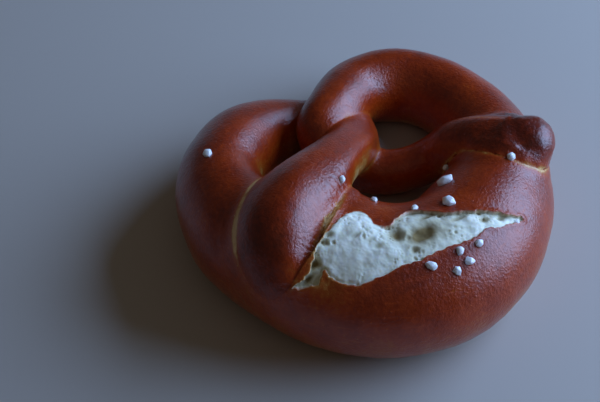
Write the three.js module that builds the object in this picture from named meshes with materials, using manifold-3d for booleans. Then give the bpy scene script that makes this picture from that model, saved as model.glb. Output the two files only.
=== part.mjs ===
// A soft pretzel: one rope of lye-dipped bread dough, rolled thick in the middle and thin
// towards its ends, laid in a loop, crossed twice, folded down over its own belly and baked
// into one piece. The belly was slashed before baking and has torn open. Coarse salt grains
// sit in the crust, each in a shallow pocket of its own.
//
// Millimetres, +Z up. The origin is at the middle of the box around the bread, on the tray.
// The belly lies towards -Y, the two round lobes and the knot towards +Y.

import * as THREE from 'three';
import { mergeVertices } from 'three/addons/utils/BufferGeometryUtils.js';
import Module from 'manifold-3d';

const wasm = await Module();
wasm.setup();

const UP = new THREE.Vector3(0, 0, 1);

// The dough rope, from the tip of its left end to the tip of its right end. Each station
// holds the middle of the rope [x, y, z] and then its half width and half height.
const LEFT_END = [
  [-44.5, -19.5, 24, 7.5, 8],
  [-44.5, -15.5, 30, 11, 10],
  [-40.5, -9, 36, 13, 11.5],
  [-29, -0.5, 36, 12.5, 11],
  [-12, 10, 30, 9, 9.5],
];
const LEFT_TWIST = [
  [2, 20, 21, 8, 8.5],
  [10.5, 30.5, 12, 8, 8.5],
  [8.5, 40.5, 7.5, 8, 8.5],
];
const LEFT_LOBE = [
  [2, 47, 7.5, 8.5, 8.5],
  [-10, 48.5, 9.5, 11, 11.5],
  [-24, 45, 13, 13, 14.5],
  [-39.5, 32.5, 15.5, 14, 18],
  [-44.5, 13.5, 17, 16.5, 19.5],
];
const BELLY = [
  [-40, -4, 18, 19.5, 20.5],
  [-28.5, -21, 19, 24, 21.5],
  [-12.5, -32, 19, 26, 21.5],
  [6, -34, 18.5, 24, 21.5],
  [25, -25.5, 17.5, 20.5, 20],
  [40.5, -10.5, 15, 15.5, 17.5],
];
const RIGHT_LOBE = [
  [47.5, 6, 13, 13.5, 15],
  [48, 23, 11.5, 12.5, 13.5],
  [43.5, 36.5, 11, 12, 13],
  [34.5, 45, 11, 12, 13],
  [21, 46, 14, 11, 11.5],
];
const RIGHT_TWIST = [
  [7.5, 38, 20, 9, 9],
  [-1.5, 32, 20, 8, 8.5],
  [0.5, 26, 13, 8, 8.5],
  [7.5, 19, 8, 7, 8],
];
const RIGHT_END = [
  [17, 11, 10, 7, 7.5],
  [26.5, 6.5, 15, 7.2, 7.5],
  [30.5, 2.3, 23.6, 7.5, 7],
  [35.5, -4.8, 29, 8, 7.5],
  [40.5, -13.4, 29.6, 12.6, 10.5],
  [45.8, -17.2, 32.8, 9.4, 7.7],
];
const ROPE = [
  ...LEFT_END, ...LEFT_TWIST, ...LEFT_LOBE, ...BELLY, ...RIGHT_LOBE, ...RIGHT_TWIST, ...RIGHT_END,
];
const LAST_STATION = ROPE.length - 1;
const LOOP_STARTS = LEFT_END.length + LEFT_TWIST.length;
const LOOP_ENDS = LAST_STATION - RIGHT_END.length - RIGHT_TWIST.length + 1;

const RING_SIDES = 24;
const RINGS_PER_STATION = 3;
const END_RINGS = 5;

// The tear in the belly, seen from above, and how far its crumb lies below the crust.
const TEAR_OUTLINE = [
  [-48, -29], [-40, -25], [-34, -21], [-25, -17], [-19, -17], [-16.5, -27.5],
  [-9, -25.5], [-1, -29], [8, -34.5], [24, -42.5], [12, -43.5], [0, -43],
  [-14, -42], [-26, -40], [-35, -37], [-39, -31], [-43, -31],
];
const TEAR_DEPTH = 1.5;
const TEAR_LOWEST = 24;
const TEAR_HIGHEST = 60;
const TEAR_CURVE_POINTS = 60;

// Salt grains: [x, y] on the bread, then length, width, height and turn in degrees.
const GRAINS = [
  [-43.5, 31.8, 3.4, 2.8, 2.6, 20],
  [-17.8, -4.4, 2.6, 2.2, 2.2, 70],
  [-10.9, -13.1, 2.6, 2.4, 2, 10],
  [12.4, -18, 5.4, 4, 3.2, -15],
  [6, -28.4, 4.6, 4, 3.2, 60],
  [-4.2, -24.8, 2.6, 2.2, 2, 40],
  [35.3, -20.5, 3, 2.6, 2.4, 0],
  [22, -6, 2.4, 2, 1.8, 30],
  [21.2, -42.2, 3, 2.6, 2.4, 80],
  [5, -45.4, 2.8, 2.6, 2.4, 15],
  [-1.8, -45.2, 3, 2.4, 2.4, 50],
  [-0.7, -48.6, 3.4, 2.6, 2.4, -30],
  [-11.9, -45, 4, 2.8, 2.6, -50],
  [-5.5, -49.3, 3, 2.8, 2.4, 35],
];
const GRAIN_CLEARANCE = 0.3;
const GRAIN_STANDS_PROUD = 0.15;
const GRAIN_ROUGHNESS = 0.16;

// How a grain's corners differ from one to the next, and from grain to grain.
const CORNER_STEP = 7.3;
const GRAIN_STEP = 2.9;

const TRAY_WIDTH = 200;
const TRAY_THICKNESS = 20;
const SAME_CORNER = 1e-4;

const CRUST_COLOUR = 0x8a3a18;
const SALT_COLOUR = 0xe6e4e0;

// A closed geometry with shared corners becomes a solid that can be joined and cut.
function solidOf(geometry) {
  const bare = geometry.clone();
  bare.deleteAttribute('normal');
  bare.deleteAttribute('uv');
  const merged = mergeVertices(bare, SAME_CORNER);
  const vertProperties = new Float32Array(merged.attributes.position.array);
  const triVerts = new Uint32Array(merged.index.array);
  return new wasm.Manifold(new wasm.Mesh({ numProp: 3, vertProperties, triVerts }));
}

function geometryOf(solid) {
  const mesh = solid.getMesh();
  const geometry = new THREE.BufferGeometry();
  geometry.setAttribute('position', new THREE.BufferAttribute(mesh.vertProperties, 3));
  geometry.setIndex(new THREE.BufferAttribute(mesh.triVerts, 1));
  geometry.computeVertexNormals();
  return geometry;
}

function smoothCurve(points, closed = false) {
  return new THREE.CatmullRomCurve3(points, closed, 'catmullrom', 0.5);
}

const ropeMiddle = smoothCurve(ROPE.map(([x, y, z]) => new THREE.Vector3(x, y, z)));
const ropeHalves = smoothCurve(
  ROPE.map(([, , , width, height]) => new THREE.Vector3(width, height, 0)));

// One ring of the rope at a station number, which may be a fraction. It is shrunk by a
// factor, pared down by a depth, and slid along the rope by a distance.
function ring(station, shrink, slide, pared) {
  const at = station / LAST_STATION;
  const along = ropeMiddle.getTangent(at);
  const middle = ropeMiddle.getPoint(at).addScaledVector(along, slide);
  const halves = ropeHalves.getPoint(at);
  const across = new THREE.Vector3().crossVectors(along, UP).normalize();
  const rise = new THREE.Vector3().crossVectors(across, along);
  const points = [];
  for (let side = 0; side < RING_SIDES; side += 1) {
    const angle = (2 * Math.PI * side) / RING_SIDES;
    points.push(middle.clone()
      .addScaledVector(across, shrink * (halves.x - pared) * Math.cos(angle))
      .addScaledVector(rise, shrink * (halves.y - pared) * Math.sin(angle)));
  }
  return points;
}

// The shrinking rings that round off an end of the rope, from the widest to the tip.
function endRings(station, direction, pared) {
  const reach = ropeHalves.getPoint(station / LAST_STATION).y - pared;
  const rings = [];
  for (let step = 1; step <= END_RINGS; step += 1) {
    const angle = (0.5 * Math.PI * step) / (END_RINGS + 0.5);
    rings.push(ring(station, Math.cos(angle), direction * reach * Math.sin(angle), pared));
  }
  return rings;
}

// Closes a row of rings with side faces, and with a flat fan at each end.
function skin(rings) {
  const faces = [];
  for (let row = 0; row + 1 < rings.length; row += 1) {
    for (let side = 0; side < RING_SIDES; side += 1) {
      const a = row * RING_SIDES + side;
      const b = row * RING_SIDES + ((side + 1) % RING_SIDES);
      faces.push(a, b + RING_SIDES, b);
      faces.push(a, a + RING_SIDES, b + RING_SIDES);
    }
  }
  const last = (rings.length - 1) * RING_SIDES;
  for (let side = 1; side + 1 < RING_SIDES; side += 1) {
    faces.push(0, side, side + 1);
    faces.push(last, last + side + 1, last + side);
  }
  const geometry = new THREE.BufferGeometry().setFromPoints(rings.flat());
  geometry.setIndex(faces);
  return geometry;
}

// A closed length of rope between two stations, with a round end at each.
function ropeLength(from, to, pared = 0) {
  const rings = endRings(from, -1, pared).reverse();
  const steps = (to - from) * RINGS_PER_STATION;
  for (let step = 0; step <= steps; step += 1) {
    rings.push(ring(from + step / RINGS_PER_STATION, 1, 0, pared));
  }
  rings.push(...endRings(to, 1, pared));
  return solidOf(skin(rings));
}

// What the tear takes out of the belly: everything inside its outline that lies above the
// crumb, except the left end, which rests over the tear's left corner.
function tearCut(leftEnd) {
  const outline = smoothCurve(TEAR_OUTLINE.map(([x, y]) => new THREE.Vector3(x, y, 0)), true);
  const shape = new THREE.Shape(
    outline.getPoints(TEAR_CURVE_POINTS).slice(0, -1).map(({ x, y }) => new THREE.Vector2(x, y)));
  const column = new THREE.ExtrudeGeometry(
    shape, { depth: TEAR_HIGHEST - TEAR_LOWEST, bevelEnabled: false });
  column.translate(0, 0, TEAR_LOWEST);
  const crumb = ropeLength(LOOP_STARTS, LOOP_ENDS, TEAR_DEPTH);
  return solidOf(column).subtract(crumb).subtract(leftEnd);
}

function bread() {
  const leftEnd = ropeLength(0, LOOP_STARTS);
  const loop = ropeLength(LOOP_STARTS, LOOP_ENDS);
  const rightEnd = ropeLength(LOOP_ENDS, LAST_STATION);
  const tray = new THREE.BoxGeometry(TRAY_WIDTH, TRAY_WIDTH, TRAY_THICKNESS);
  tray.translate(0, 0, -0.5 * TRAY_THICKNESS);
  return loop.add(leftEnd).add(rightEnd).subtract(tearCut(leftEnd)).subtract(solidOf(tray));
}

// An irregular crystal of a size, made from a 20-faced one with uneven corners.
function crystal(length, width, height, number) {
  const faceted = new THREE.IcosahedronGeometry(0.5);
  faceted.deleteAttribute('normal');
  faceted.deleteAttribute('uv');
  const corners = mergeVertices(faceted, SAME_CORNER);
  const place = corners.attributes.position;
  for (let corner = 0; corner < place.count; corner += 1) {
    const uneven = 1 + GRAIN_ROUGHNESS * Math.sin(CORNER_STEP * corner + GRAIN_STEP * number);
    place.setXYZ(
      corner,
      place.getX(corner) * uneven * length,
      place.getY(corner) * uneven * width,
      place.getZ(corner) * uneven * height);
  }
  return corners;
}

// Sets a crystal on the bread's surface at [x, y], square to that surface.
function grainGeometry(grain, number, crustMesh, clearance) {
  const [x, y, length, width, height, turn] = grain;
  const above = new THREE.Raycaster(new THREE.Vector3(x, y, TEAR_HIGHEST), UP.clone().negate());
  const landing = above.intersectObject(crustMesh)[0];
  const grown = 2 * clearance;
  const geometry = crystal(length + grown, width + grown, height + grown, number);
  geometry.rotateZ(THREE.MathUtils.degToRad(turn));
  geometry.applyQuaternion(new THREE.Quaternion().setFromUnitVectors(UP, landing.face.normal));
  const seat = landing.point.addScaledVector(landing.face.normal, GRAIN_STANDS_PROUD * height);
  return geometry.translate(seat.x, seat.y, seat.z);
}

function namedMesh(name, geometry, color, roughness) {
  const material = new THREE.MeshStandardMaterial({ color, roughness, metalness: 0 });
  const mesh = new THREE.Mesh(geometry, material);
  mesh.name = name;
  return mesh;
}

const pretzel = new THREE.Group();
const wholeBread = bread();
const crustMesh = new THREE.Mesh(geometryOf(wholeBread));
let pittedBread = wholeBread;
GRAINS.forEach((grain, number) => {
  const pocket = solidOf(grainGeometry(grain, number, crustMesh, GRAIN_CLEARANCE));
  pittedBread = pittedBread.subtract(pocket);
  const name = `salt_grain_${String(number + 1).padStart(2, '0')}`;
  pretzel.add(namedMesh(name, grainGeometry(grain, number, crustMesh, 0), SALT_COLOUR, 0.5));
});
pretzel.add(namedMesh('pretzel', geometryOf(pittedBread), CRUST_COLOUR, 0.4));

export default pretzel;
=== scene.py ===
"""A soft pretzel: one rope of lye-dipped dough, twisted, folded down and baked into one
piece, torn open along its belly and strewn with coarse salt."""

import math

import bmesh
import bpy
import numpy as np
from mathutils import Matrix, Vector, bvhtree, noise


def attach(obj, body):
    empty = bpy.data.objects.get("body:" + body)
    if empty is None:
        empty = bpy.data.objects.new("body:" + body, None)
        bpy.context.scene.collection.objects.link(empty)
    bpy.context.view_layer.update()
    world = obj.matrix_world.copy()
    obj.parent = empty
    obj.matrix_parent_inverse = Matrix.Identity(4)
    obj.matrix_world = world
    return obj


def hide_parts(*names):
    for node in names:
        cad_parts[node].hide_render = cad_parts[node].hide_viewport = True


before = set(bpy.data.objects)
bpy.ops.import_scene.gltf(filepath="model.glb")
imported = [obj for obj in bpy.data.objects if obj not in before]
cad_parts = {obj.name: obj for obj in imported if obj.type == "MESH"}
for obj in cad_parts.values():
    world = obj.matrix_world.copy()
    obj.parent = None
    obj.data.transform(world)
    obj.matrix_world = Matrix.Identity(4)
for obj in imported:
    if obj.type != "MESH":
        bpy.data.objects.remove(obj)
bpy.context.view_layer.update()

# ---------------------------------------------------------------------------------------
# The table, the window light and the view.
# The table is pale matt board. A wide window stands to the right and gives cool daylight,
# and the room round it gives back a little warm light.

MM = 0.001


def linear(hex_colour):
    """An sRGB colour such as "8a3a18" as linear RGBA."""
    parts = [int(hex_colour[i:i + 2], 16) / 255 for i in (0, 2, 4)]
    return tuple(c / 12.92 if c <= 0.04045 else ((c + 0.055) / 1.055) ** 2.4 for c in parts) + (1.0,)


def add_node(tree, kind, links=None, values=None, **settings):
    """Adds a shader node. Links and values give its inputs, by name or number, another
    node's output or a constant. Settings name its properties, or its inputs by name."""
    node = tree.nodes.new(kind)
    for name, value in settings.items():
        if hasattr(node, name):
            setattr(node, name, value)
        else:
            node.inputs[name.replace("_", " ")].default_value = value
    for name, value in (values or {}).items():
        node.inputs[name].default_value = value
    for name, socket in (links or {}).items():
        tree.links.new(socket, node.inputs[name])
    return node


def new_material(name):
    """A material with only its output node, and its node tree."""
    material = bpy.data.materials.new(name)
    material.use_nodes = True
    tree = material.node_tree
    tree.nodes.clear()
    output = tree.nodes.new("ShaderNodeOutputMaterial")
    return material, tree, output


def deselect_all():
    """Clears the selection, so that an operator acts on one piece only."""
    if bpy.context.object and bpy.context.object.mode != "OBJECT":
        bpy.ops.object.mode_set(mode="OBJECT")
    bpy.ops.object.select_all(action="DESELECT")


TABLE_WIDTH = 3.0

deselect_all()
bpy.ops.mesh.primitive_plane_add(size=TABLE_WIDTH, location=(0, 0, 0))
table = bpy.context.object
table.name = "table"

# Matt painted board: pale, even and without gloss, so it only gives back soft light.
board, tree, output = new_material("matt painted board")
surface = add_node(tree, "ShaderNodeBsdfPrincipled", Base_Color=linear("bdb7ae"), Roughness=0.8)
tree.links.new(surface.outputs[0], output.inputs[0])
table.data.materials.append(board)

# The standard view transform keeps the dark red-brown of the crust as strong as it is.
bpy.context.scene.view_settings.view_transform = "Standard"

ROOM_COLOUR = "f0e2d2"
ROOM_STRENGTH = 0.07
world = bpy.data.worlds.new("room")
bpy.context.scene.world = world
world.use_nodes = True
world.node_tree.nodes["Background"].inputs["Color"].default_value = linear(ROOM_COLOUR)
world.node_tree.nodes["Background"].inputs["Strength"].default_value = ROOM_STRENGTH


def soft_light(name, width, height, power, colour, azimuth, elevation, distance):
    """An oval panel of light aimed at the pretzel. Azimuth 0 is +X and 90 is +Y."""
    bpy.ops.object.light_add(type="AREA")
    light = bpy.context.object
    light.name = name
    light.data.shape = "ELLIPSE"
    light.data.size = width
    light.data.size_y = height
    light.data.energy = power
    light.data.color = linear(colour)[:3]
    turn = math.radians(azimuth)
    rise = math.radians(elevation)
    out = Vector((math.cos(turn) * math.cos(rise), math.sin(turn) * math.cos(rise), math.sin(rise)))
    light.location = out * distance
    light.rotation_euler = out.to_track_quat("Z", "Y").to_euler()


soft_light(
    "window", width=1.02, height=0.70, power=12.2, colour="aacbff", azimuth=-16, elevation=27, distance=0.75)
soft_light(
    "room fill", width=1.2, height=1.0, power=0.2, colour="fff0e0", azimuth=-120, elevation=65, distance=1.3)

LENS = 114.0
VIEW_DISTANCE = 0.627
VIEW_AZIMUTH = -32.0
VIEW_ELEVATION = 49.0
VIEW_AIM = Vector((-13.9, 24.8, 0)) * MM

camera_data = bpy.data.cameras.new("view")
camera_data.lens = LENS
camera_data.sensor_width = 36
camera = bpy.data.objects.new("view", camera_data)
bpy.context.scene.collection.objects.link(camera)
bpy.context.scene.camera = camera
turn = math.radians(VIEW_AZIMUTH)
rise = math.radians(VIEW_ELEVATION)
towards_view = Vector(
    (math.sin(turn) * math.cos(rise), -math.cos(turn) * math.cos(rise), math.sin(rise)))
camera.location = VIEW_AIM + towards_view * VIEW_DISTANCE
camera.rotation_euler = towards_view.to_track_quat("Z", "Y").to_euler()

# ---------------------------------------------------------------------------------------
# The rope of dough.
# One rope, thick in the middle and thin towards its ends, rolled by hand, laid in a loop,
# crossed twice and folded down over its belly. Where it touches itself it bakes together.

# Each station holds the middle of the rope [x, y, z], then its half width and half height.
LEFT_END = [
    (-44.5, -19.5, 24, 7.5, 8),
    (-44.5, -15.5, 30, 11, 10),
    (-40.5, -9, 36, 13, 11.5),
    (-29, -0.5, 36, 12.5, 11),
    (-12, 10, 30, 9, 9.5),
]
LEFT_TWIST = [
    (2, 20, 21, 8, 8.5),
    (10.5, 30.5, 12, 8, 8.5),
    (8.5, 40.5, 7.5, 8, 8.5),
]
LEFT_LOBE = [
    (2, 47, 7.5, 8.5, 8.5),
    (-10, 48.5, 9.5, 11, 11.5),
    (-24, 45, 13, 13, 14.5),
    (-39.5, 32.5, 15.5, 14, 18),
    (-44.5, 13.5, 17, 16.5, 19.5),
]
BELLY = [
    (-40, -4, 18, 19.5, 20.5),
    (-28.5, -21, 19, 24, 21.5),
    (-12.5, -32, 19, 26, 21.5),
    (6, -34, 18.5, 24, 21.5),
    (25, -25.5, 17.5, 20.5, 20),
    (40.5, -10.5, 15, 15.5, 17.5),
]
RIGHT_LOBE = [
    (47.5, 6, 13, 13.5, 15),
    (48, 23, 11.5, 12.5, 13.5),
    (43.5, 36.5, 11, 12, 13),
    (34.5, 45, 11, 12, 13),
    (21, 46, 14, 11, 11.5),
]
RIGHT_TWIST = [
    (7.5, 38, 20, 9, 9),
    (-1.5, 32, 20, 8, 8.5),
    (0.5, 26, 13, 8, 8.5),
    (7.5, 19, 8, 7, 8),
]
RIGHT_END = [
    (17, 11, 10, 7, 7.5),
    (26.5, 6.5, 15, 7.2, 7.5),
    (30.5, 2.3, 23.6, 7.5, 7),
    (35.5, -4.8, 29, 8, 7.5),
    (40.5, -13.4, 29.6, 12.6, 10.5),
    (45.8, -17.2, 32.8, 9.4, 7.7),
]
ROPE = np.array(LEFT_END + LEFT_TWIST + LEFT_LOBE + BELLY + RIGHT_LOBE + RIGHT_TWIST + RIGHT_END) * MM
LAST_STATION = len(ROPE) - 1
LOOP_STARTS = len(LEFT_END) + len(LEFT_TWIST)
LOOP_ENDS = LAST_STATION - len(RIGHT_END) - len(RIGHT_TWIST) + 1

RING_SIDES = 48
RINGS_PER_STATION = 5
END_RINGS = 7


def on_curve(p0, p1, p2, p3, t):
    """The place t of the way from p1 to p2 on the smooth curve through four points."""
    return 0.5 * (
        2 * p1 + (p2 - p0) * t + (2 * p0 - 5 * p1 + 4 * p2 - p3) * t * t
        + (3 * p1 - p0 - 3 * p2 + p3) * t ** 3)


def rope_at(station):
    """The rope's middle, half width and half height at a station or between two."""
    ends = [2 * ROPE[0] - ROPE[1], *ROPE, 2 * ROPE[-1] - ROPE[-2]]
    whole = min(int(station), LAST_STATION - 1)
    return on_curve(*ends[whole:whole + 4], station - whole)


def rope_frame(station, shrink=1.0, slide=0.0):
    """The matrix that takes a round ring of radius 1 to its place on the rope."""
    step = 0.01
    row = rope_at(station)
    ahead = rope_at(min(station + step, LAST_STATION))
    behind = rope_at(max(station - step, 0))
    along = Vector(ahead[:3] - behind[:3]).normalized()
    across = along.cross(Vector((0, 0, 1))).normalized()
    up = across.cross(along)
    middle = Vector(row[:3]) + along * slide
    columns = [across * row[3] * shrink, up * row[4] * shrink, along * row[4]]
    place = Matrix([list(c) + [0] for c in columns] + [[0, 0, 0, 1]]).transposed()
    place.translation = middle
    return place


def roll_dough(name, first, last):
    """One length of rope between two stations, with a round tip at each end."""
    tips = [0.5 * math.pi * k / (END_RINGS + 0.5) for k in range(1, END_RINGS + 1)]
    thick_first = rope_at(first)[4]
    thick_last = rope_at(last)[4]
    steps = (last - first) * RINGS_PER_STATION
    frames = [rope_frame(first, math.cos(a), -thick_first * math.sin(a)) for a in reversed(tips)]
    frames += [rope_frame(first + k / RINGS_PER_STATION) for k in range(steps + 1)]
    frames += [rope_frame(last, math.cos(a), thick_last * math.sin(a)) for a in tips]
    deselect_all()
    bpy.ops.mesh.primitive_circle_add(vertices=RING_SIDES, radius=1, fill_type="NGON")
    rope = bpy.context.object
    rope.name = name
    rope.data.transform(frames[0])
    bpy.ops.object.mode_set(mode="EDIT")
    bpy.ops.mesh.select_all(action="SELECT")
    for before, after in zip(frames, frames[1:]):
        bpy.ops.mesh.extrude_region()
        ring = bmesh.from_edit_mesh(rope.data)
        moved = [v for v in ring.verts if v.select]
        bmesh.ops.transform(ring, matrix=after @ before.inverted(), verts=moved)
        bmesh.update_edit_mesh(rope.data)
    bpy.ops.mesh.select_all(action="SELECT")
    bpy.ops.mesh.normals_make_consistent(inside=False)
    bpy.ops.object.mode_set(mode="OBJECT")
    return rope


def apply_modifier(piece, kind, **settings):
    """Adds a modifier to a piece and applies it at once."""
    deselect_all()
    bpy.context.view_layer.objects.active = piece
    piece.select_set(True)
    modifier = piece.modifiers.new(kind.lower(), kind)
    for name, value in settings.items():
        setattr(modifier, name, value)
    bpy.ops.object.modifier_apply(modifier=modifier.name)


def places_of(piece):
    """A piece's vertices and their normals, as arrays."""
    places = np.empty((len(piece.data.vertices), 3), np.float32)
    normals = np.empty_like(places)
    piece.data.vertices.foreach_get("co", places.ravel())
    piece.data.vertices.foreach_get("normal", normals.ravel())
    return places, normals


def set_places(piece, places):
    piece.data.vertices.foreach_set("co", places.astype(np.float32).ravel())
    piece.data.update()


# Soft round spots are given as [x, y, z], spread and strength. The belly's inner rim is
# dragged up beside the left end and sags beyond it, by the strength in mm.
PULLS = [
    (-16, -4.5, 33.5, 8, 4.5),
    (-1.5, -15, 28, 8.5, -2.4),
]


def spots_at(places, spots):
    """How strong soft round spots are at each place, added up."""
    strength = np.zeros(len(places), np.float32)
    for spot_x, spot_y, spot_z, spread, most in spots:
        apart = np.linalg.norm(places / MM - np.array([spot_x, spot_y, spot_z]), axis=1)
        strength += most * np.exp(-(apart / spread) ** 2)
    return strength


lengths = [
    roll_dough("left end", 0, LOOP_STARTS),
    roll_dough("right end", LOOP_ENDS, LAST_STATION),
    roll_dough("loop", LOOP_STARTS, LOOP_ENDS),
]
places, normals = places_of(lengths[-1])
set_places(lengths[-1], places + normals * (spots_at(places, PULLS) * MM)[:, None])
deselect_all()
for length in lengths:
    length.select_set(True)
bread = lengths[-1]
bpy.context.view_layer.objects.active = bread
bpy.ops.object.join()
bread.name = "pretzel_bread"
bread.data.name = "pretzel_bread"

# The tray flattens the underside, and baking fuses the crossings into one smooth skin.
FUSE_GRAIN = 0.95 * MM
FUSE_PASSES = 7
for corner in bread.data.vertices:
    corner.co.z = max(corner.co.z, 0)
apply_modifier(bread, "REMESH", mode="VOXEL", voxel_size=FUSE_GRAIN, adaptivity=0)
apply_modifier(bread, "SMOOTH", factor=0.5, iterations=FUSE_PASSES)

# Round sections all along the rope, close together, tell how far a point is from its skin.
SECTION_STEP = 0.12
section_stations = np.arange(0, LAST_STATION + SECTION_STEP / 2, SECTION_STEP).clip(0, LAST_STATION)
section_frames = [rope_frame(s) for s in section_stations]
section_middles = np.array([f.translation for f in section_frames], np.float32)
section_halves = np.array([[c.length for c in f.to_3x3().col] for f in section_frames], np.float32)
section_axes = np.array([[c.normalized() for c in f.to_3x3().col] for f in section_frames], np.float32)
section_steps = np.diff(section_middles, axis=0, prepend=section_middles[:1])
section_runs = np.linalg.norm(section_steps, axis=1).cumsum()
loop_sections = (section_stations > LOOP_STARTS) & (section_stations < LOOP_ENDS)
SAME_STRETCH = 30 * MM
FAR_OFF = 1.0
NEVER_ZERO = 1e-9
POINTS_AT_ONCE = 2000


def skin_distance(points):
    """For each point: its distance to the rope's skin, the section nearest to it, its
    distance to any other stretch of rope, and its place beside that section's middle.
    Each section stands for an ellipsoid: the ratio is 1 on its skin and grows outwards, and
    dividing by the steepness makes a distance of it."""
    found = []
    for block in np.array_split(points.astype(np.float32), max(1, len(points) // POINTS_AT_ONCE)):
        apart = block[:, None] - section_middles
        local = np.einsum("psk,sak->psa", apart, section_axes)
        scaled = local / section_halves
        ratio = np.linalg.norm(scaled, axis=2)
        steepness = np.linalg.norm(scaled / section_halves, axis=2)
        away = ratio * (ratio - 1) / np.maximum(steepness, NEVER_ZERO)
        away = away - (spots_at(block, PULLS) * MM)[:, None] * loop_sections
        near = away.argmin(axis=1)
        rows = np.arange(len(block))
        runs = np.abs(section_runs[None] - section_runs[near][:, None])
        others = np.where(runs > SAME_STRETCH, away, FAR_OFF).min(axis=1)
        found.append((away[rows, near], near, others, local[rows, near]))
    return [np.concatenate(column) for column in zip(*found)]


def set_attribute(piece, name, values):
    """Writes one number for each vertex, for the material to read."""
    attribute = piece.data.attributes.get(name) or piece.data.attributes.new(name, "FLOAT", "POINT")
    attribute.data.foreach_set("value", values.astype(np.float32))


def smooth_step(low, high, values):
    t = np.clip((values - low) / (high - low), 0, 1)
    return t * t * (3 - 2 * t)


def noise_at(places, size, seed=0.0, octaves=1):
    """Smooth noise from -1 to 1 whose lumps are about size across."""
    shift = Vector((seed, -seed, 0.5 * seed))
    if octaves == 1:
        return np.array([noise.noise(Vector(p) / size + shift) for p in places], np.float32)
    return np.array(
        [noise.fractal(Vector(p) / size + shift, 1.0, 2.0, octaves) for p in places], np.float32)


# ---------------------------------------------------------------------------------------
# The tear.
# The belly was slashed before baking and burst there: the pale crumb swells out between
# two torn edges of crust. It is fluffy and full of pores, with deeper hollows under the
# upper edge, and a narrow torn strip runs on beside the left end.

UPPER_EDGE = [
    (-49.5, -27), (-44, -27.5), (-40, -25), (-37, -22.5), (-30, -19.5), (-25, -17), (-20, -16.5),
    (-18, -19), (-18.5, -24), (-16.5, -27.5), (-13.5, -27), (-10, -25.5), (-6.5, -25), (-2, -28),
    (2, -32), (6.5, -34), (12.5, -36.5), (18, -39.5), (24, -42.3),
]
LOWER_EDGE = [
    (24, -42.3), (21, -43), (13.5, -43), (10.5, -42.3), (4, -43.5), (-4, -42.6), (-13, -42.2),
    (-20, -40.8), (-26, -40.2), (-32.5, -38.5), (-37, -35), (-38.8, -30.5), (-39.3, -29.3),
    (-41, -29.8), (-42.5, -30.8), (-45, -29.8), (-47, -28.6), (-49.5, -27),
]
# Hollows in the crumb: [x, y], half length along X, half width and depth.
HOLLOWS = [
    (-8.4, -35.2, 4.2, 2.4, 1.9),
    (-13.5, -38.7, 1.3, 1, 1.1),
    (-15.3, -31.5, 2.2, 2.4, 1.5),
    (-12.5, -34.2, 1.2, 1, 1),
    (11.6, -39.2, 1.6, 1.1, 1.5),
    (17, -40.6, 1.5, 0.8, 1.1),
    (-3.5, -29.6, 2.4, 0.9, 1.1),
    (4.5, -35.2, 2.6, 0.8, 1),
    (-23.3, -29.3, 1.5, 0.8, 0.5),
    (-22.8, -32, 1.2, 0.9, 0.4),
    (-32.8, -21.6, 1.1, 0.8, 1),
    (-35.2, -23, 1, 0.9, 1.2),
    (-26.5, -26, 1.6, 0.7, 0.6),
    (-40.7, -26.6, 1.6, 0.8, 1.6),
    (-44.4, -28.4, 1.8, 0.6, 1.5),
]


def distance_to_line(points, line):
    """Distance in plan from points to a line of straight stretches."""
    nearest = np.full(len(points), np.inf)
    for start, end in zip(line, line[1:]):
        run = end - start
        t = np.clip(((points - start) @ run) / (run @ run), 0, 1)
        nearest = np.minimum(nearest, np.linalg.norm(points - start - t[:, None] * run, axis=1))
    return nearest


def inside_outline(points, line):
    """Whether points lie inside a closed line in plan."""
    inside = np.zeros(len(points), bool)
    for (x0, y0), (x1, y1) in zip(line, np.roll(line, -1, axis=0)):
        crosses = (y0 > points[:, 1]) != (y1 > points[:, 1])
        rise = (y1 - y0) or 1e-12
        inside ^= crosses & (points[:, 0] < (x1 - x0) * (points[:, 1] - y0) / rise + x0)
    return inside


def rounded_line(points, cuts=4):
    """A smooth line through points, in metres."""
    points = np.array(points) * MM
    ends = [2 * points[0] - points[1], *points, 2 * points[-1] - points[-2]]
    line = []
    for p0, p1, p2, p3 in zip(ends, ends[1:], ends[2:], ends[3:]):
        line += [on_curve(p0, p1, p2, p3, t) for t in np.arange(cuts) / cuts]
    return np.array(line + [points[-1]])


upper_edge = rounded_line(UPPER_EDGE)
lower_edge = rounded_line(LOWER_EDGE)
whole_edge = np.concatenate([upper_edge[:-1], lower_edge[:-1]])
TEAR_LOWEST = 24 * MM


def tear_reach(places):
    """How far inside the tear's outline each place lies; outside it is below zero."""
    plan = places[:, :2]
    away = distance_to_line(plan, np.vstack([whole_edge, whole_edge[:1]]))
    return np.where(inside_outline(plan, whole_edge), away, -away)


def refine(piece, chosen):
    """Splits the chosen faces in four."""
    deselect_all()
    bpy.context.view_layer.objects.active = piece
    piece.select_set(True)
    bpy.ops.object.mode_set(mode="EDIT")
    bpy.ops.mesh.select_mode(type="FACE")
    bpy.ops.mesh.select_all(action="DESELECT")
    bpy.ops.object.mode_set(mode="OBJECT")
    piece.data.polygons.foreach_set("select", chosen)
    bpy.ops.object.mode_set(mode="EDIT")
    bpy.ops.mesh.subdivide(number_cuts=1, smoothness=0)
    bpy.ops.object.mode_set(mode="OBJECT")


def face_middles(piece):
    middles = np.empty((len(piece.data.polygons), 3), np.float32)
    piece.data.polygons.foreach_get("center", middles.ravel())
    return middles


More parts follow.
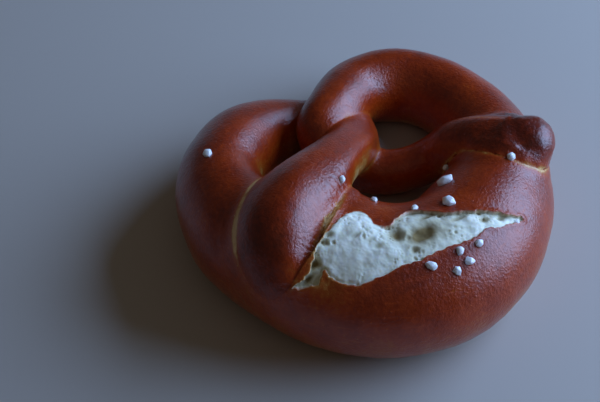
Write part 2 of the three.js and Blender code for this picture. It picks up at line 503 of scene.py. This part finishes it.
# The dough flows together where one stretch lies on another: the fillet's size, and the
# larger one round the left end, which was pressed down hardest.
FILLET = 4 * MM
LEFT_END_FILLET = 8 * MM
MOST_FILL = 1.5 * MM
FILLET_ROUNDS = 3
FILLET_PASSES = 4
for _ in range(FILLET_ROUNDS):
    places, normals = places_of(bread)
    own, section, other, beside = skin_distance(places)
    fillet = FILLET + (LEFT_END_FILLET - FILLET) * smooth_step(-20, -32, places[:, 0] / MM)
    meeting = np.clip(fillet - np.abs(other - own), 0, None)
    joined = np.minimum(own, other) - meeting ** 2 / (4 * fillet)
    fill = np.where(meeting > 0, np.clip(-joined, 0, MOST_FILL), 0)
    places = places + normals * fill[:, None]
    places[:, 2] = places[:, 2].clip(0)
    set_places(bread, places)
apply_modifier(bread, "SMOOTH", factor=0.5, iterations=FILLET_PASSES)

# Where the salt lies, from the middles and widths of its grains.
GRAIN_COUNT = 14
grain_nodes = [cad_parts[f"salt_grain_{number:02d}"] for number in range(1, GRAIN_COUNT + 1)]
grain_boxes = [
    np.array([node.matrix_world @ Vector(corner) for corner in node.bound_box]) for node in grain_nodes]
grain_middles = np.array([(box.min(axis=0) + box.max(axis=0)) / 2 for box in grain_boxes])
grain_sizes = np.sort([box.max(axis=0) - box.min(axis=0) for box in grain_boxes], axis=1)
grain_reaches = grain_sizes[:, 1:].mean(axis=1) / 2


def grain_gap(places):
    """How far places lie outside the rim of the nearest grain of salt."""
    gap = np.full(len(places), FAR_OFF)
    for middle, grain_reach in zip(grain_middles, grain_reaches):
        gap = np.minimum(gap, np.linalg.norm(places - middle, axis=1) - grain_reach)
    return gap


# The crumb, its edges, the beds of the salt grains and the right end's crease get a finer
# mesh than the rest of the crust: first a wide band round them, then a narrow one.
RIGHT_END_BEGINS = 14 * MM
for edge_band, bed_band in ((2.5 * MM, 1.6 * MM), (0.8 * MM, 0.9 * MM)):
    middles = face_middles(bread)
    chosen = middles[:, 2] > TEAR_LOWEST
    chosen[chosen] = tear_reach(middles[chosen]) > -edge_band
    chosen |= grain_gap(middles) < bed_band
    beside_end = (middles[:, [0, 2]] > RIGHT_END_BEGINS).all(axis=1) & (middles[:, 1] < RIGHT_END_BEGINS)
    own, section, other, beside = skin_distance(middles[beside_end])
    chosen[beside_end] |= np.abs(other - own) < bed_band
    refine(bread, chosen)

# The torn edges wander a little. Distances to them are in mm, and matter only nearby.
WANDER = 0.5 * MM
WANDER_SIZE = 2.2 * MM
NEARBY = 8 * MM
OUT_OF_REACH = 20.0
places, normals = places_of(bread)
own, section, other, beside = skin_distance(places)
station = section_stations[section]
on_loop = station > LOOP_STARTS
torn = on_loop & (places[:, 2] > TEAR_LOWEST)
edge_wander = np.zeros_like(places)
edge_wander[torn, 0] = noise_at(places[torn], WANDER_SIZE, seed=3, octaves=2) * WANDER
edge_wander[torn, 1] = noise_at(places[torn], WANDER_SIZE, seed=9, octaves=2) * WANDER
reach = np.full(len(places), -OUT_OF_REACH * MM)
reach[torn] = tear_reach(places[torn] + edge_wander[torn])
near_tear = reach > -NEARBY
plan = (places + edge_wander)[near_tear][:, :2]
from_upper = np.full(len(places), OUT_OF_REACH)
from_lower = np.full(len(places), OUT_OF_REACH)
from_upper[near_tear] = distance_to_line(plan, upper_edge) / MM
from_lower[near_tear] = distance_to_line(plan, lower_edge) / MM
x, y = places[:, 0] / MM, places[:, 1] / MM


def oval_at(middle_x, middle_y, half_length, half_width):
    """A soft oval spot in plan, in mm: 1 at its middle and fading outwards."""
    return np.exp(-(((x - middle_x) / half_length) ** 2 + ((y - middle_y) / half_width) ** 2))


# The tear is a narrow strip at its left end, then a mound of crumb with a smooth patch in
# front of it, then a wide part that dips under the upper edge. Heights are in mm.
strip = smooth_step(-38, -41, x)
mound = oval_at(-26, -24, 8, 7)
smooth_patch = oval_at(-33, -32.5, 4.5, 3.5)
right_part = smooth_step(-18.5, -14, x)
lip_depth = 0.3 + 0.6 * right_part * smooth_step(24, 17, x)
lip_width = 1.5 + 2.5 * right_part
under_lip = lip_depth * (1 - smooth_step(0.1, lip_width, from_upper))
crumb_height = 0.1 + 1.5 * mound - under_lip - 0.9 * strip
crumb_height -= 0.4 * (1 - smooth_step(0, 1.2, from_lower))

# Fluff is the crumb's unevenness, large to small. Pores are small open bubbles: how wide,
# how deep and which scatter.
PORES = [(2.3 * MM, 0.5, 4), (1.2 * MM, 0.3, 6)]
inside = reach > -0.2 * MM
crumb_places = places[inside]
rough = 1 - 0.75 * smooth_patch[inside]
fluff = 0.42 * noise_at(crumb_places, 4.5 * MM, seed=5, octaves=2)
fluff += 0.09 * noise_at(crumb_places, 1.8 * MM, seed=8, octaves=2)
fluff += 0.05 * noise_at(crumb_places, 0.7 * MM, seed=1)
scatter = smooth_step(-0.05, 0.5, noise_at(crumb_places, 5 * MM, seed=17))
pores = np.zeros(len(places))
for pore_width, depth, seed in PORES:
    shift = Vector((seed, 0, 0))
    nearest = np.array([noise.voronoi(Vector(p) / pore_width + shift)[0][0] for p in crumb_places])
    pores[inside] += depth * scatter * (1 - smooth_step(0.05, 0.45, nearest))
hollow = np.zeros(len(places))
for *oval, depth in HOLLOWS:
    hollow = np.maximum(hollow, depth * oval_at(*oval))
crumb_height[inside] += rough * (fluff - pores[inside]) - 0.8 * hollow[inside]

# Along both edges the crust stands up in a thin torn lip, higher at the upper edge.
crumb = smooth_step(-0.1, 0.25, reach / MM)
lip = 0.5 * np.exp(-(from_upper / 1.3) ** 2) * (0.3 + 0.7 * right_part)
lip = np.maximum(lip, 0.2 * np.exp(-(from_lower / 1.2) ** 2)) * on_loop
heights = np.where(inside, crumb_height, 0) * crumb + lip * (1 - crumb)
set_places(bread, places + normals * (heights * MM)[:, None])

# ---------------------------------------------------------------------------------------
# The crust.
# Lye turns the skin of the dough deep red-brown and glossy. It is darkest on top and at
# the thin ends, orange on the inner walls, and tan in the creases, which the lye and the
# heat hardly reached.

# Bulges the dough blew up in the oven: [x, y, z], spread and height.
BULGES = [
    (-46.5, -21, 39.5, 3.2, 0.8),
    (-20, -12.5, 44, 7, 0.5),
    (44, -11.5, 40, 3.6, 0.9),
    (-40.5, -21.5, 36, 4, 0.5),
]

# Spots the lye missed or the heat hardly reached: [x, y, z], spread and how much paler.
PALE_SPOTS = [
    (-7, 2, 28, 5.5, 0.36),
    (0, 8.5, 26, 5, 0.20),
    (-27, 27, 21, 5, 0.24),
    (7, 29, 26, 2.2, 0.2),
    (-40.5, -32, 34, 4, 0.32),
    (-38.5, -37, 32, 4, 0.10),
    (-48.5, -24, 36.5, 3.6, 0.26),
    (-12.5, -19, 38, 6, 0.10),
    (30, -9, 26, 3, 0.10),
    (38.5, -24.5, 34.2, 2.2, 0.5),
    (42.5, -26, 31, 2.6, 0.5),
]

# Seam is how far a place is from where two stretches meet, in mm. Facing is its direction
# round the rope: 0 is to the right of its course, and 90 is up.
places, normals = places_of(bread)
seam = np.abs(other - own) / MM
halves = section_halves[section]
facing = np.degrees(np.arctan2(beside[:, 1] / halves[:, 1], beside[:, 0] / halves[:, 0]))

# The skin is a little lumpy all over, in mm, and wrinkled at the thin ends, which dried most.
right_end = smooth_step(LAST_STATION - 3, LAST_STATION - 0.5, station)
wrinkled = 0.6 * smooth_step(3.2, 1, station) + right_end
lumps = 0.35 * noise_at(places, 15 * MM, seed=2) + 0.10 * noise_at(places, 6 * MM, seed=7)
wrinkles = 0.20 * noise_at(places, 3 * MM, seed=12) + 0.10 * noise_at(places, 1.7 * MM, seed=13)
lumps += wrinkled * wrinkles + spots_at(places, BULGES)

# The left end has a full right shoulder, and was pressed flat on the right near its tip.
on_left_end = smooth_step(5.6, 4.8, station) * smooth_step(-0.6, 0.6, station)
near_left_tip = smooth_step(3.6, 2.0, station)
shoulder = 0.9 * np.exp(-((facing - 38) / 20) ** 2) - 0.5 * np.exp(-((facing - 80) / 22) ** 2)
right_flank = smooth_step(104, 6, facing) * smooth_step(-35, 2, facing)
lumps += on_left_end * (1 - near_left_tip) * shoulder - 3.8 * near_left_tip * right_flank

# A groove runs along each seam, shallower at the left. Beside the right end it cracked open.
seam_dip = (0.30 - 0.15 * (x < -24)) * np.exp(-(seam / 0.9) ** 2)
cracked = smooth_step(0, 0.35, noise_at(places, 3.5 * MM, seed=31))
cracked *= smooth_step(14 * MM, 20 * MM, places[:, 0]) * smooth_step(12 * MM, 8 * MM, places[:, 1])
cracked *= places[:, 2] > 14 * MM
seam_dip += 0.9 * cracked * np.exp(-(seam / 0.32) ** 2)
bed = 0.2 * (1 - smooth_step(-0.4, 0.5, grain_gap(places) / MM))
free = (places[:, 2] > 1.0 * MM) & ~inside
heights = np.where(free, lumps - seam_dip - bed, 0)
set_places(bread, places + normals * (heights * MM)[:, None])

# Shelter is 1 deep in a hole or a crease, where the oven's heat hardly reached.
REACH_OUT = 6 * MM
places, normals = places_of(bread)
probe = places + normals * REACH_OUT
clear = np.minimum(skin_distance(probe)[0], probe[:, 2])
shelter = 1 - np.clip(clear / REACH_OUT, 0, 1)

# How far the crust browned, from 0, pale, to 1, nearly black. Further down, painted shade is
# added to it in the cracks beside the right end.
top = smooth_step(-0.5, 1.0, normals[:, 2])
tips = smooth_step(3.5, 1, station) + smooth_step(LAST_STATION - 3, LAST_STATION - 1, station)
browning_and_crack_shade = 0.36 + 0.22 * top + 0.16 * tips + 0.05 * right_end - 0.12 * smooth_step(0.1, 0.9, shelter)
browning_and_crack_shade -= 0.08 * smooth_step(8, 0, places[:, 2] / MM)
browning_and_crack_shade -= 0.28 * np.exp(-np.abs(reach / MM) / 0.5)
browning_and_crack_shade -= 0.14 * near_left_tip * right_flank
browning_and_crack_shade -= spots_at(places, PALE_SPOTS)

# The seams stayed pale, most of all left of the left end, but not under its tip. The cracks
# in them get painted shade, as dark as the shade deep inside a narrow crack.
front = smooth_step(22, 12, places[:, 1] / MM)
left_side = smooth_step(-24, -30, x) * smooth_step(-10, -4, y)
under_tip = smooth_step(-38, -46, x) * smooth_step(-6, -16, y)
seam_line = np.exp(-(seam / (1.0 + 0.3 * left_side)) ** 2) * (0.3 + 0.45 * front + 0.7 * left_side)
seam_line *= 1 - 0.85 * under_tip
browning_and_crack_shade -= 0.38 * seam_line + np.exp(-(seam / 3) ** 2) * (0.08 * front + 0.16 * left_side)
browning_and_crack_shade += 0.7 * cracked * np.exp(-(seam / 0.4) ** 2)

# A thin pale line runs along the back of the right end, where the skin stretched.
back_line = smooth_step(LAST_STATION - 3, LAST_STATION - 2, station)
back_line *= smooth_step(LAST_STATION - 0.7, LAST_STATION - 1.2, station)
browning_and_crack_shade -= 0.45 * back_line * np.exp(-((facing - 110) / 7) ** 2)

# The crumb gets painted shade in its hollows, its pores and the wide hollow in its middle,
# and a thin painted shadow under its upper edge. Its narrow strip is a little darker as well.
underside = smooth_step(-0.5, -0.9, normals[:, 2])
dry = np.maximum(crumb, 0.5 * underside + 0.3 * seam_line)
lip_shadow = crumb * np.exp(-from_upper / 0.45) * (0.4 + 0.6 * right_part)
darker_strip_and_shaded_middle = crumb * (0.2 * strip + 0.42 * oval_at(-6, -35, 9, 7))
set_attribute(bread, "browning_and_crack_shade", np.clip(browning_and_crack_shade, 0, 1))
set_attribute(bread, "dry", np.clip(dry, 0, 1))
set_attribute(bread, "crumb", crumb)
# The hollow attribute carries the crumb's painted shade and its darker strip.
set_attribute(bread, "hollow", np.clip(0.6 * hollow + 0.8 * pores + 0.9 * lip_shadow + darker_strip_and_shaded_middle, 0, 1.5))
set_attribute(bread, "along", section_runs[section] + beside[:, 2])
set_attribute(bread, "around", np.arctan2(beside[:, 1], beside[:, 0]) * halves.mean(axis=1))

deselect_all()
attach(bread, "root")
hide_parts("pretzel")

# Lye-dipped dough, baked: a thin, hard, glossy skin, so the eye sees sharp window light over
# a deep red-brown. The crumb under it is dry, pale and airy, and takes light in softly.
crust, tree, output = new_material("lye-baked crust")
here = add_node(tree, "ShaderNodeTexCoord").outputs["Object"]
browning_and_crack_shade_value, crumb_value, dry_value, crumb_shade_value, along_value, around_value = [
    add_node(tree, "ShaderNodeAttribute", attribute_name=name).outputs["Fac"]
    for name in ("browning_and_crack_shade", "crumb", "dry", "hollow", "along", "around")]

# Where the skin stretched, it cracked finely along the rope, and the cracks stayed paler.
CRACK_LENGTH = 7 * MM
CRACK_SPACING = 1.1 * MM
stretched = add_node(tree, "ShaderNodeCombineXYZ", {"X": along_value, "Y": around_value})
squeeze = add_node(
    tree, "ShaderNodeVectorMath", {0: stretched.outputs[0]}, {1: (1 / CRACK_LENGTH, 1 / CRACK_SPACING, 0)},
    operation="MULTIPLY")
streaks = add_node(tree, "ShaderNodeTexNoise", {"Vector": squeeze.outputs[0]}, Scale=1, Detail=2)
cracks = add_node(
    tree, "ShaderNodeMapRange", {"Value": streaks.outputs["Fac"]}, {"From Min": 0.60, "From Max": 0.72})

# Tiny blisters stand up in patches, with paler tops.
blisters = add_node(tree, "ShaderNodeTexVoronoi", {"Vector": here}, Scale=1 / (2.1 * MM))
blister_tops = add_node(
    tree, "ShaderNodeMapRange", {"Value": blisters.outputs["Distance"]},
    {"From Min": 0.20, "From Max": 0.10})
blister_noise = add_node(tree, "ShaderNodeTexNoise", {"Vector": here}, Scale=1 / (14 * MM), Detail=3)
blister_patches = add_node(
    tree, "ShaderNodeMapRange", {"Value": blister_noise.outputs["Fac"]},
    {"From Min": 0.45, "From Max": 0.60})
blistered = add_node(
    tree, "ShaderNodeMath", {0: blister_tops.outputs[0], 1: blister_patches.outputs[0]},
    operation="MULTIPLY")

# Browning goes up and down in patches and in freckles. Noise runs round 0.5, so half of each
# of these two gains comes off first.
PATCH_GAIN = 0.50
FRECKLE_GAIN = 0.36
patches = add_node(tree, "ShaderNodeTexNoise", {"Vector": here}, Scale=1 / (12 * MM), Detail=4)
freckles = add_node(tree, "ShaderNodeTexNoise", {"Vector": here}, Scale=1 / (1.6 * MM), Detail=3)
baked = add_node(
    tree, "ShaderNodeMath", {0: browning_and_crack_shade_value}, {1: (PATCH_GAIN + FRECKLE_GAIN) / 2}, operation="SUBTRACT")
browning = [
    (patches, "Fac", PATCH_GAIN), (freckles, "Fac", FRECKLE_GAIN), (cracks, 0, -0.12), (blistered, 0, -0.14)]
for pattern, socket, gain in browning:
    links = {0: pattern.outputs[socket], 2: baked.outputs[0]}
    baked = add_node(tree, "ShaderNodeMath", links, {1: gain}, operation="MULTIPLY_ADD")

# The crust's colour follows its browning, and the painted shade of the cracks is in it too.
crust_ramp = add_node(tree, "ShaderNodeValToRGB", {"Fac": baked.outputs[0]})
CRUST_STOPS = [
    (0.0, "e2bc80"), (0.12, "c08642"), (0.26, "ac5316"), (0.42, "a2380b"), (0.62, "842607"),
    (0.82, "5b1506"), (1.0, "3a0d05"),
]
# The crumb runs from cream to dark tan with its painted shade, and noise gives it a random tone.
HOLLOW_GAIN = 0.36
hollow_noise = add_node(tree, "ShaderNodeTexNoise", {"Vector": here}, Scale=1 / (2.5 * MM), Detail=3)
crumb_shade_offset = add_node(tree, "ShaderNodeMath", {0: crumb_shade_value}, {1: HOLLOW_GAIN / 2}, operation="SUBTRACT")
crumb_shade_and_mottle = add_node(
    tree, "ShaderNodeMath", {0: hollow_noise.outputs["Fac"], 2: crumb_shade_offset.outputs[0]}, {1: HOLLOW_GAIN},
    operation="MULTIPLY_ADD")
crumb_ramp = add_node(tree, "ShaderNodeValToRGB", {"Fac": crumb_shade_and_mottle.outputs[0]})
CRUMB_STOPS = [(0.0, "f3f8e6"), (0.4, "cbc9ae"), (1.0, "8c7a52")]
for ramp, stops in ((crust_ramp, CRUST_STOPS), (crumb_ramp, CRUMB_STOPS)):
    while len(ramp.color_ramp.elements) < len(stops):
        ramp.color_ramp.elements.new(0.5)
    for element, (position, tone) in zip(ramp.color_ramp.elements, stops):
        element.position = position
        element.color = linear(tone)
colour = add_node(tree, "ShaderNodeMix", {"Factor": crumb_value}, data_type="RGBA")
tree.links.new(crust_ramp.outputs["Color"], colour.inputs["A"])
tree.links.new(crumb_ramp.outputs["Color"], colour.inputs["B"])

# The skin is leathery: fine wrinkles and finer grain, in mm, cracks, and the blisters' tops.
# The crumb has hardly any of it, for its own unevenness is in the mesh.
wrinkles = add_node(tree, "ShaderNodeTexNoise", {"Vector": here}, Scale=1 / (0.9 * MM), Detail=4)
grain = add_node(tree, "ShaderNodeTexNoise", {"Vector": here}, Scale=1 / (0.35 * MM), Detail=2)
leather = add_node(tree, "ShaderNodeMath", {0: wrinkles.outputs["Fac"]}, {1: 0.20}, operation="MULTIPLY")
for pattern, socket, gain in ((grain, "Fac", 0.07), (cracks, 0, -0.02), (blistered, 0, 0.07)):
    links = {0: pattern.outputs[socket], 2: leather.outputs[0]}
    leather = add_node(tree, "ShaderNodeMath", links, {1: gain}, operation="MULTIPLY_ADD")
firm = add_node(tree, "ShaderNodeMapRange", {"Value": crumb_value}, {"To Min": 1, "To Max": 0.05})
leather_bump = add_node(
    tree, "ShaderNodeBump", {"Height": leather.outputs[0], "Strength": firm.outputs[0]}, Distance=MM)

gloss = add_node(tree, "ShaderNodeMapRange", {"Value": dry_value}, {"To Min": 0.62, "To Max": 0})
roughness = add_node(tree, "ShaderNodeMapRange", {"Value": dry_value}, {"To Min": 0.30, "To Max": 0.9})
airy = add_node(tree, "ShaderNodeMapRange", {"Value": crumb_value}, {"To Max": 0.5})
surface = add_node(
    tree, "ShaderNodeBsdfPrincipled",
    {"Base Color": colour.outputs["Result"], "Roughness": roughness.outputs[0],
     "Subsurface Weight": airy.outputs[0], "Coat Weight": gloss.outputs[0],
     "Normal": leather_bump.outputs[0], "Coat Normal": leather_bump.outputs[0]},
    {"Subsurface Radius": (1, 0.9, 0.7)},
    Subsurface_Scale=1.2 * MM, IOR=1.46, Specular_IOR_Level=0.22, Coat_Roughness=0.23, Coat_IOR=1.6)
tree.links.new(surface.outputs[0], output.inputs[0])
bread.data.materials.clear()
bread.data.materials.append(crust)
for face in bread.data.polygons:
    face.use_smooth = True

# ---------------------------------------------------------------------------------------
# The grains of coarse salt.
# Broken crystals of rock salt, a few millimetres wide, pressed into the dough before it
# was baked. Their edges are worn and their faces uneven, and light passes into them.

# Crushed rock salt: hard and cloudy inside, so the eye sees small white crystals with bright
# faces. Fine pits blur their shine.
salt, tree, output = new_material("coarse rock salt")
here = add_node(tree, "ShaderNodeTexCoord").outputs["Object"]
cloud = add_node(tree, "ShaderNodeTexNoise", {"Vector": here}, Scale=1 / (1.2 * MM), Detail=3)
tone = add_node(tree, "ShaderNodeValToRGB", {"Fac": cloud.outputs["Fac"]})
tone.color_ramp.elements[0].color = linear("e8f2ff")
tone.color_ramp.elements[1].color = linear("f6fbff")
pits = add_node(tree, "ShaderNodeTexNoise", {"Vector": here}, Scale=1 / (0.5 * MM), Detail=3)
pitted = add_node(tree, "ShaderNodeBump", {"Height": pits.outputs["Fac"]}, Strength=1.0, Distance=0.08 * MM)
surface = add_node(
    tree, "ShaderNodeBsdfPrincipled", {"Base Color": tone.outputs["Color"], "Normal": pitted.outputs[0]},
    {"Subsurface Radius": (1, 1, 1)},
    Roughness=0.2, IOR=1.54, Subsurface_Weight=0.5, Subsurface_Scale=0.6 * MM)
tree.links.new(surface.outputs[0], output.inputs[0])

# Chips make the faces uneven. Each crystal is made a little fuller again, by what its worn
# edges took off, and then stands a share of its half height out of the crust.
WORN_EDGE = 0.14 * MM
CHIP_SIZE = 1.4 * MM
CHIP_DEPTH = 0.16
MADE_FULLER = 0.12
SINKS_IN = 0.45
MOST_LIFT = 0.6 * MM
SHARP_EDGE = math.radians(24)
# Two grains are caught in the crease beside the right end: how far each slid into it, in mm.
IN_THE_CREASE = {7: (-0.8, -0.9, -0.5), 8: (0.3, 0.8, 0.9)}
NOT_MOVED = (0, 0, 0)
bread_surface = bvhtree.BVHTree.FromObject(bread, bpy.context.evaluated_depsgraph_get())
for number, node in enumerate(grain_nodes, 1):
    deselect_all()
    grain = bpy.data.objects.new(f"salt_crystal_{number:02d}", node.data.copy())
    grain.data.name = grain.name
    bpy.context.scene.collection.objects.link(grain)
    grain.data.transform(node.matrix_world)
    bpy.context.view_layer.objects.active = grain
    grain.select_set(True)
    bpy.ops.object.mode_set(mode="EDIT")
    bpy.ops.mesh.select_all(action="SELECT")
    bpy.ops.mesh.remove_doubles(threshold=0.01 * MM)
    bpy.ops.mesh.normals_make_consistent(inside=False)
    bpy.ops.object.mode_set(mode="OBJECT")
    apply_modifier(grain, "BEVEL", width=WORN_EDGE, segments=2, limit_method="NONE")
    places, normals = places_of(grain)
    chips = noise_at(places, CHIP_SIZE, seed=number) * CHIP_DEPTH
    places = places + normals * ((chips + MADE_FULLER) * MM)[:, None]
    middle = Vector((places.min(axis=0) + places.max(axis=0)) / 2)
    bed_place, bed_normal, _, _ = bread_surface.find_nearest(middle)
    stands = (middle - bed_place).dot(bed_normal)
    half_height = 0.5 * np.ptp(places @ np.array(bed_normal))
    lift = float(np.clip(SINKS_IN * half_height - stands, -MOST_LIFT, MOST_LIFT))
    slid = np.array(IN_THE_CREASE.get(number, NOT_MOVED)) * MM
    set_places(grain, places + np.array(bed_normal) * lift + slid)
    grain.data.materials.clear()
    grain.data.materials.append(salt)
    bpy.ops.object.shade_smooth_by_angle(angle=SHARP_EDGE)
    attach(grain, "root")
    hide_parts(node.name)
